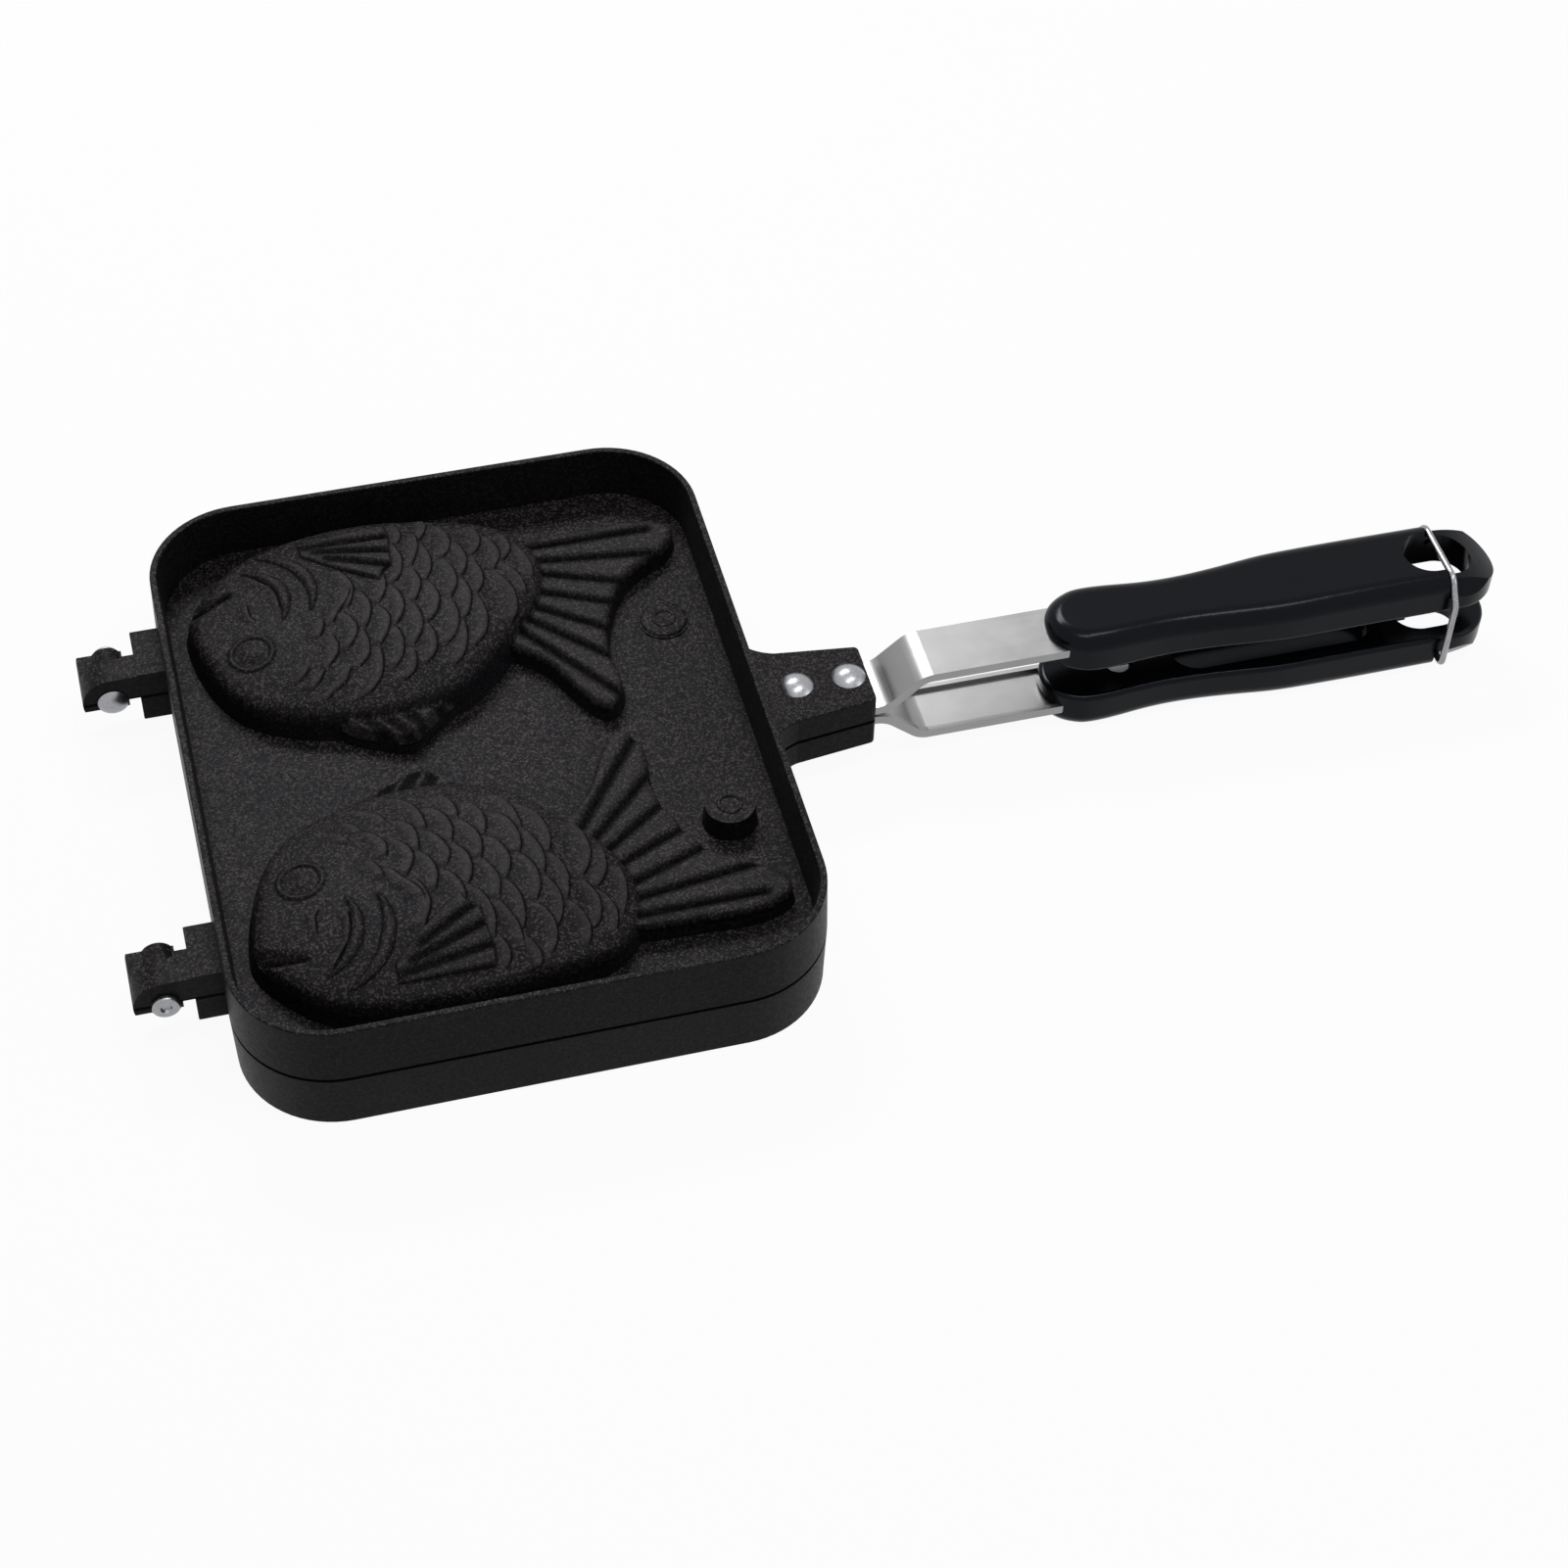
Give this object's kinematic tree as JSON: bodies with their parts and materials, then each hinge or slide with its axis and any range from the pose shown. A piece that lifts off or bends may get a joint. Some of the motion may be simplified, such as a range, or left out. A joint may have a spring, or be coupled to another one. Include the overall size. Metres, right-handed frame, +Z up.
{
  "type": "taiyaki pan",
  "caption": "Double-sided fish-cake pan: two dark cast halves with raised fish backs, hinged at one end, each on a steel strap and moulded grip, held shut by a wire bail.",
  "frame": {"origin": "middle of the footprint of the closed pan, on the surface that its lower rim rests on", "axes": "+X from the hinge to the hanging end of the grips, +Y across the pan, +Z up through the closed halves"},
  "size_m": [0.3164, 0.155, 0.0292],
  "materials": {
    "coated_casting": "dark speckled non-stick coating, semi-matt",
    "strap_steel": "bright pressed strip",
    "rivet_metal": "polished",
    "grip_plastic": "glossy black moulding",
    "wire_steel": "bright spring wire"
  },
  "bodies": {
    "lower": {"lower_mould": "coated_casting", "hinge_pin_far": "rivet_metal", "hinge_pin_near": "rivet_metal", "lower_strap": "strap_steel", "lower_rivet_front": "rivet_metal", "lower_rivet_rear": "rivet_metal", "lower_grip": "grip_plastic", "lower_grip_screw": "rivet_metal"},
    "upper": {"upper_mould": "coated_casting", "upper_strap": "strap_steel", "upper_rivet_front": "rivet_metal", "upper_rivet_rear": "rivet_metal", "upper_grip": "grip_plastic", "upper_grip_screw": "rivet_metal"},
    "bail": {"lock_bail": "wire_steel"}
  },
  "joints": [
    {"name": "lid_hinge", "type": "hinge", "parent": "lower", "child": "upper", "pos_m": [-0.1516, 0, 0.0146], "axis": [0, -1, 0], "range_deg": [0, 130]},
    {"name": "bail_swing", "type": "hinge", "parent": "lower", "child": "bail", "pos_m": [0.1449, 0, 0.0038], "axis": [0, 1, 0], "range_deg": [0, 255]}
  ]
}
